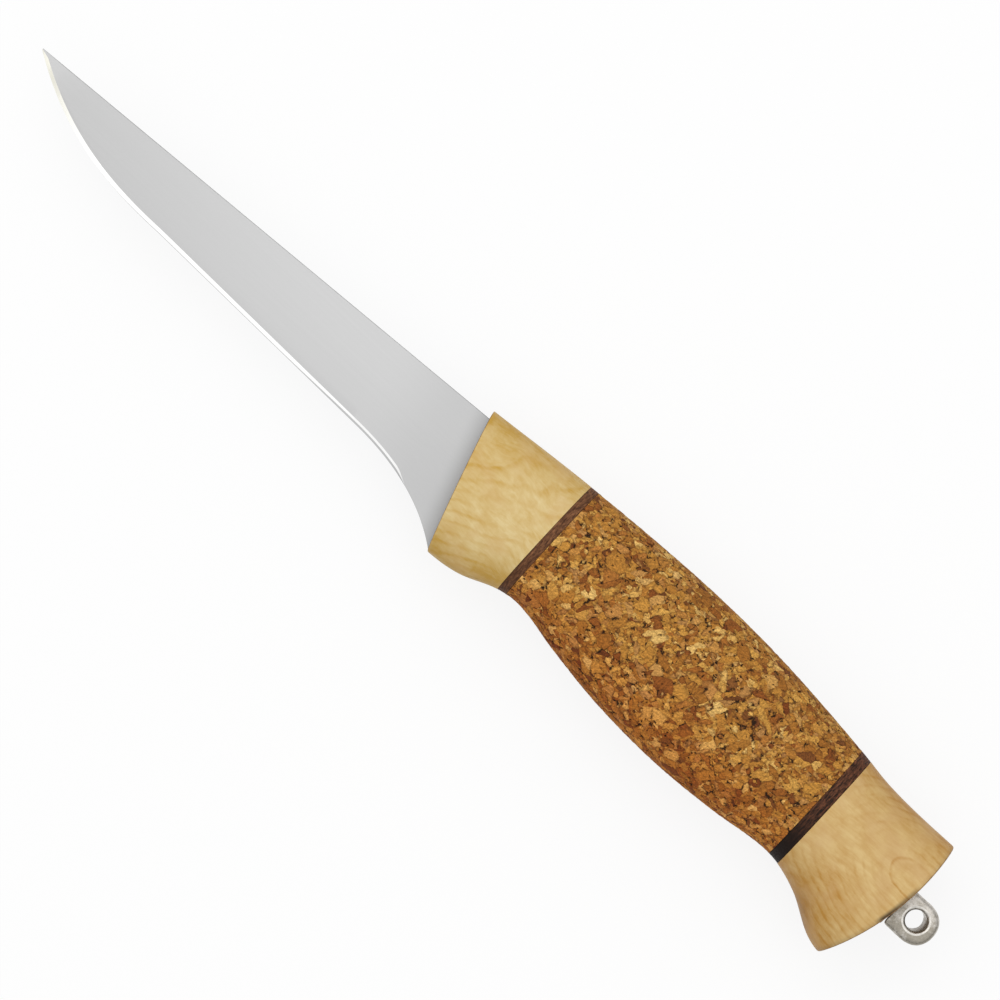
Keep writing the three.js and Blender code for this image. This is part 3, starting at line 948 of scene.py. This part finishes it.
def bowed_grain(graph, wood):
    """Growth rings of the pommel, which nest in an arch beside the eye that is open to the butt."""
    from_start = graph.vector("SUBTRACT", wood, ARCH_START)
    ahead = graph.vector("MINIMUM", from_start, (0.0, ARCH_FAR, ARCH_FAR))
    away = graph.length(graph.vector("MULTIPLY", ahead, ARCH_SHAPE))
    from_arch = graph.math("SUBTRACT", graph.math("MAXIMUM", away, ARCH_CORE), ARCH_RADIUS)
    patchy = graph.fit(graph.noise(wood, 0.12, 3.0).outputs[0], 0.42, 0.6, 0.0, 0.36)
    below = graph.fit(graph.part(wood, "Y"), -8.0, 1.0, 0.36, 0.0)
    broken = graph.fit(graph.noise(wood, 0.35, 2.0).outputs[0], 0.35, 0.6, 0.45, 1.0)
    upper = graph.fit(graph.dot(wood, ARCH_FADE_WAY), *ARCH_FADE, 0.9, 0.15)
    arch = graph.product(graph.fit(from_arch, *ARCH_LINE, 1.0, 0.0), broken, upper)
    plain = graph.math("MAXIMUM", arch, graph.math("MAXIMUM", patchy, below))
    # The patch is painted shade on the pommel's concave waist.
    return from_arch, plain, patch(graph, wood, *POMMEL_WAIST_SHADE)


def butt_edge_shade(graph, place):
    """Painted shade: a dark line along the edge of the butt, heaviest beside the eye."""
    centre = (BUTT_APEX - BUTT_RADIUS, BUTT_RISE, 0.0)
    out = graph.vector("MULTIPLY", graph.vector("SUBTRACT", place, centre), (1.0, 1.0, 0.0))
    from_butt = graph.math("SUBTRACT", BUTT_RADIUS, graph.length(out))
    height = graph.part(place, "Y")
    beside_eye = graph.product(
        graph.fit(graph.math("ABSOLUTE", height), *BUTT_SHADE_SIDES, 1.0, 0.2),
        graph.fit(height, *BUTT_SHADE_RISE, 1.0, 0.6),
    )
    return graph.product(graph.fit(from_butt, *BUTT_SHADE_DEPTH, 0.95, 0.0), beside_eye)


def cork(name):
    """Pressed cork granules, each with its own tone and streaks, with painted light and shade on their
    edges and rims and painted shade on the low side.
    """
    made, graph, shader = material(name)
    place = graph.millimetres(graph.node("ShaderNodeAttribute", attribute_name="rest").outputs["Vector"])
    granule, rim = cork_field(graph, place)
    tone, hue = graph.part(granule, "Y"), graph.part(granule, "Z")
    ochre = graph.ramp(
        tone,
        [
            (0.0, paint(152, 96, 36)),
            (0.25, paint(172, 115, 46)),
            (0.6, paint(186, 132, 56)),
            (0.85, paint(202, 151, 72)),
            (1.0, paint(220, 178, 104)),
        ],
    )
    russet = graph.ramp(
        tone,
        [
            (0.0, paint(120, 62, 24)),
            (0.4, paint(154, 94, 36)),
            (0.8, paint(174, 114, 50)),
            (1.0, paint(190, 138, 76)),
        ],
    )
    colour = graph.mix(graph.fit(hue, 0.68, 0.82), ochre, russet)
    colour = graph.mix(graph.fit(hue, 0.04, 0.16, 0.42, 0.0), colour, paint(194, 148, 92))
    colour = graph.mix(graph.fit(hue, 0.94, 0.97, 0.0, 0.7), colour, paint(98, 56, 28))
    # Painted shade: the low side toward the belly is darker and more orange.
    belly = graph.fit(graph.part(place, "Y"), -9.0, 4.0, 1.0, 0.0)
    colour = graph.mix(belly, colour, (1.0, 0.78, 0.66, 1.0), "MULTIPLY")
    along = graph.turn(place, graph.vector("MULTIPLY", granule, (6.28,) * 3))
    streaks = graph.noise(graph.vector("MULTIPLY", along, (0.55, 3.2, 3.2)), 1.0, 2.0, 0.55).outputs[0]
    specks = graph.noise(place, 2.4, 3.0, 0.65).outputs[0]
    # Painted light and shade: granule and crumb edges lit on the side toward the light and shaded on the
    # far side.
    beside = graph.vector("ADD", place, CORK_LIT_SIDE)
    step = graph.math("SUBTRACT", tone, graph.part(cork_field(graph, beside)[0], "Y"))
    painted_crumb_light = graph.math("SUBTRACT", specks, graph.noise(beside, 2.4, 3.0, 0.65).outputs[0])
    tint = graph.product(
        graph.fit(step, -0.9, 0.9, 0.84, 1.16),
        graph.fit(painted_crumb_light, -0.3, 0.3, 0.7, 1.3, "LINEAR"),
        graph.fit(streaks, 0.3, 0.7, 0.78, 1.22),
        graph.fit(specks, 0.3, 0.7, 0.82, 1.16),
        # Painted shade toward each granule's rim.
        graph.fit(rim, 0.0, 0.4, 0.88, 1.04),
    )
    colour = graph.tinted(colour, tint)
    patchy = graph.noise(place, 1.1, 2.0).outputs[0]
    seam = graph.product(graph.fit(rim, 0.03, 0.2, 0.7, 0.0), graph.fit(patchy, 0.46, 0.62))
    colour = graph.mix(seam, colour, paint(88, 48, 20))
    colour = graph.mix(cork_pits(graph, place, rim), colour, paint(44, 26, 12))
    dress(
        graph,
        shader,
        Base_Color=colour,
        Roughness=0.8,
        Specular_IOR_Level=0.2,
        Normal=graph.bump(graph.total(streaks, specks), 0.00006, 0.5),
    )
    return made


def leather(name, dark, light, belly, back):
    """Edge of a leather slice: matted brown fibres, darker toward the belly by painted shade."""
    made, graph, shader = material(name)
    place = graph.place()
    streaks = graph.noise(graph.vector("MULTIPLY", place, (3.2, 0.7, 0.7)), 1.0, 4.0, 0.65).outputs[0]
    flecks = graph.noise(place, 2.6, 3.0, 0.6).outputs[0]
    tone = graph.product(
        graph.fit(streaks, 0.32, 0.72),
        graph.fit(flecks, 0.3, 0.75, 0.5, 1.0),
        # Painted shade: darker toward the belly, lighter toward the back.
        graph.fit(graph.part(place, "Y"), -7.0, 8.0, belly, back),
    )
    dress(
        graph,
        shader,
        Base_Color=graph.mix(tone, dark, light),
        Roughness=graph.fit(flecks, 0.3, 0.7, 0.62, 0.8),
        Specular_IOR_Level=0.15,
        Normal=graph.bump(streaks, 0.00006, 0.6),
    )
    return made


def epoxy(name):
    made, graph, shader = material(name)
    cloud = graph.noise(graph.place(), 0.2, 3.0).outputs[0]
    dress(
        graph,
        shader,
        Base_Color=graph.mix(cloud, paint(214, 176, 96), paint(176, 132, 62)),
        Roughness=graph.fit(cloud, 0.3, 0.7, 0.2, 0.32),
    )
    return made


def finish(piece, body, node, slot, *materials):
    """Puts a piece in place of its CAD node."""
    for made in materials:
        piece.data.materials.append(made)
    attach(piece, body)
    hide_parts(node)
    return piece


def keep(node, made):
    """Gives a hidden CAD node its finish."""
    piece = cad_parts[node]
    piece.data.materials.clear()
    piece.data.materials.append(made)


flank_steel = satin_flank("flank_steel")
edge_steel = keen_edge("edge_steel")
eye_steel = cast_steel("eye_steel", paint(161, 155, 143), paint(208, 203, 195))
# Lighter, smoother steel for the land round the eye's hole: partly wear, partly a painted highlight.
wear_and_highlight_steel = steel("wear_and_highlight_steel", paint(212, 208, 201), 0.3, (1.6, 0.6, 0.6), 0.08, 0.24)
washer_steel = steel("washer_steel", paint(134, 128, 119), 0.4, (0.6, 2.0, 2.0), 0.08, 0.05)
stud_steel = steel("stud_steel", paint(170, 169, 165), 0.4, (2.0, 0.5, 0.5), 0.08, 0.05)

sections = blade_rows()
around = len(sections[0])
bevel_columns = (FLANK_POINTS, around - 2 - FLANK_POINTS)
bevel = [row * around + column for row in range(BEVEL_ROWS) for column in bevel_columns]
blade = build("ground_blade", [ring_rows(sections, False)], BLADE_CREASE, bevel)
finish(blade, "knife", "blade", "blade_steel", flank_steel, edge_steel)

ferrule = handle_piece(
    "birch_ferrule",
    front_at,
    flat_at(0.0),
    [
        (flat_at(0.0), core_bore),
        (flat_at(CORE_IN_FERRULE), core_bore),
        (flat_at(CORE_IN_FERRULE), slot_bore),
        (front_at, slot_bore),
    ],
    front_round=0.25,
    back_round=0.06,
    step=0.4,
    around=240,
)
finish(
    ferrule,
    "knife",
    "front_ferrule",
    "ferrule_birch",
    birch(
        "ferrule_birch",
        pale=paint(226, 204, 150),
        deep=paint(197, 155, 66),
        warm=paint(215, 182, 127),
        grain=flat_grain,
        waves=9.0,
        ripples=1.3,
        spacing=2.2,
        lines=0.3,
    ),
)

front_leather = leather("front_leather", paint(70, 42, 26), paint(152, 104, 70), 0.7, 1.1)
rear_leather = leather("rear_leather", paint(30, 20, 15), paint(128, 80, 55), 0.0, 1.15)
for slot, node, (front, back), made in (
    ("front_leather", "front_spacer", FRONT_LEATHER, front_leather),
    ("rear_leather", "rear_spacer", REAR_LEATHER, rear_leather),
):
    slice_of = handle_piece(
        slot + "_slice",
        flat_at(front),
        flat_at(back),
        [(flat_at(back), core_bore), (flat_at(front), core_bore)],
        front_round=0.08,
        back_round=0.08,
        step=0.12,
        around=480,
    )
    carve(slice_of, leather_depth)
    finish(slice_of, "knife", node, slot, made)

barrel = handle_piece(
    "cork_barrel",
    flat_at(GRIP_FRONT),
    flat_at(GRIP_BACK),
    [(flat_at(GRIP_BACK), core_bore), (flat_at(GRIP_FRONT), core_bore)],
    front_round=0.1,
    back_round=0.1,
    step=0.2,
    around=480,
)
carve(barrel, cork_depth)
finish(barrel, "knife", "cork_grip", "cork", cork("cork"))

pommel = handle_piece(
    "birch_pommel",
    flat_at(POMMEL_FRONT),
    butt_at,
    [
        (butt_at, round_bore(SPOT_FACE)),
        (flat_at(WASHER_SEAT), round_bore(SPOT_FACE)),
        (flat_at(WASHER_SEAT), round_bore(SLEEVE_BORE)),
        (flat_at(SLEEVE_BORE_FRONT), round_bore(SLEEVE_BORE)),
        (flat_at(SLEEVE_BORE_FRONT), round_bore(STUD_BORE)),
        (flat_at(CORE_IN_POMMEL), round_bore(STUD_BORE)),
        (flat_at(CORE_IN_POMMEL), core_bore),
        (flat_at(POMMEL_FRONT), core_bore),
    ],
    front_round=0.06,
    back_round=0.5,
    step=0.4,
    around=240,
)
finish(
    pommel,
    "knife",
    "pommel",
    "pommel_birch",
    birch(
        "pommel_birch",
        pale=paint(220, 190, 131),
        deep=paint(184, 134, 58),
        warm=paint(206, 168, 116),
        grain=bowed_grain,
        waves=3.2,
        ripples=0.8,
        spacing=1.4,
        lines=0.55,
        edge_shade=butt_edge_shade,
    ),
)

washer = build(
    "steel_washer",
    [
        turned(
            [
                (WASHER_FRONT, SLEEVE_BORE),
                (WASHER_FRONT, WASHER_RADIUS - WASHER_ROUNDING),
                (WASHER_FRONT + WASHER_ROUNDING, WASHER_RADIUS),
                (WASHER_BACK - WASHER_ROUNDING, WASHER_RADIUS),
                (WASHER_BACK, WASHER_RADIUS - WASHER_ROUNDING),
                (WASHER_BACK, SLEEVE_BORE),
            ],
            WASHER_POINTS,
        )
    ],
    WASHER_CREASE,
)
finish(washer, "washer", "butt_washer", "washer_steel", washer_steel)

sleeve = turned(
    [
        (SLEEVE_FRONT, THREAD_RADIUS),
        (SLEEVE_FRONT, SLEEVE_RADIUS),
        (EYE_BASE, SLEEVE_RADIUS),
        (EYE_BASE, THREAD_RADIUS),
    ],
    SLEEVE_POINTS,
)
lug = eye_rows(EYE_POINTS)
# The land round the hole takes the lighter steel, partly wear and partly a painted highlight.
lands = (EYE_LIP_ROWS - 1, len(lug) - 1 - EYE_LIP_ROWS)
worn = [row * EYE_POINTS + column for row in lands for column in range(EYE_POINTS)]
eye = build("lanyard_eye", [ring_rows(lug, True), sleeve], EYE_CREASE, worn)
carve(eye, eye_depth)
finish(eye, "eye", "eye_nut", "eye_steel", eye_steel, wear_and_highlight_steel)

keep("tang_stud", stud_steel)
keep("tang_adhesive", epoxy("epoxy"))


def stage():
    """Pale floor, soft studio light and the photograph's camera."""
    scene = bpy.context.scene
    scene.view_settings.view_transform = "Standard"

    mesh = bpy.data.meshes.new("floor")
    corners = [(-1, -1), (1, -1), (1, 1), (-1, 1)]
    mesh.from_pydata([(x * FLOOR_REACH, y * FLOOR_REACH, 0) for x, y in corners], [], [(0, 1, 2, 3)])
    floor = bpy.data.objects.new("floor", mesh)
    scene.collection.objects.link(floor)
    made, graph, shader = material("floor")
    ray = graph.node("ShaderNodeLightPath").outputs
    seen = graph.total(ray["Is Camera Ray"], ray["Is Glossy Ray"], ray["Is Transmission Ray"])
    seen = graph.math("MINIMUM", seen, 1.0)
    shade = graph.mix(seen, FLOOR_BOUNCE, FLOOR_COLOUR)
    dress(graph, shader, Base_Color=shade, Roughness=0.9, Specular_IOR_Level=0.1)
    white = graph.node("ShaderNodeEmission", {"Color": (1.0, 1.0, 1.0, 1.0), "Strength": 1.0})
    share = graph.math("MULTIPLY", seen, FLOOR_WHITE)
    mixed = graph.node("ShaderNodeMixShader", {0: share, 1: shader.outputs[0], 2: white.outputs[0]})
    graph.tree.links.new(mixed.outputs[0], made.node_tree.nodes["Material Output"].inputs["Surface"])
    mesh.materials.append(made)

    world = bpy.data.worlds.new("studio")
    world.use_nodes = True
    scene.world = world
    graph = Graph(world.node_tree)
    towards = graph.node("ShaderNodeTexCoord").outputs["Generated"]
    level = graph.fit(graph.dot(towards, SKY_AXIS), 0.0, 1.0, SKY_LOW, SKY_HIGH, "LINEAR")
    sky = world.node_tree.nodes["Background"]
    world.node_tree.links.new(level, sky.inputs["Strength"])
    sky.inputs["Color"].default_value = (1.0, 1.0, 1.0, 1.0)

    lamp = bpy.data.lights.new("softbox", "AREA")
    lamp.shape = "RECTANGLE"
    lamp.size, lamp.size_y = SOFTBOX_SIZE, SOFTBOX_SIZE
    lamp.energy = SOFTBOX_POWER
    box = bpy.data.objects.new("softbox", lamp)
    box.location = SOFTBOX_PLACE
    box.rotation_euler = (-box.location).to_track_quat("-Z", "Y").to_euler()
    scene.collection.objects.link(box)

    stand = Vector((*CAMERA_FOOT, CAMERA_HEIGHT))
    sight = Vector((*PICTURE_CENTRE, 0.0)) - stand
    lean = Vector((0.0, 0.0, -1.0)).rotation_difference(sight)
    lens = bpy.data.cameras.new("camera")
    lens.sensor_width = SENSOR_WIDTH
    lens.lens = SENSOR_WIDTH * sight.length / PICTURE_WIDTH
    lens.clip_end = CLIP_END
    camera = bpy.data.objects.new("camera", lens)
    camera.location = np.array(stand) * MM + ORIGIN
    camera.rotation_euler = (lean @ Quaternion((0.0, 0.0, 1.0), PICTURE_TURN)).to_euler()
    scene.collection.objects.link(camera)
    scene.camera = camera


stage()
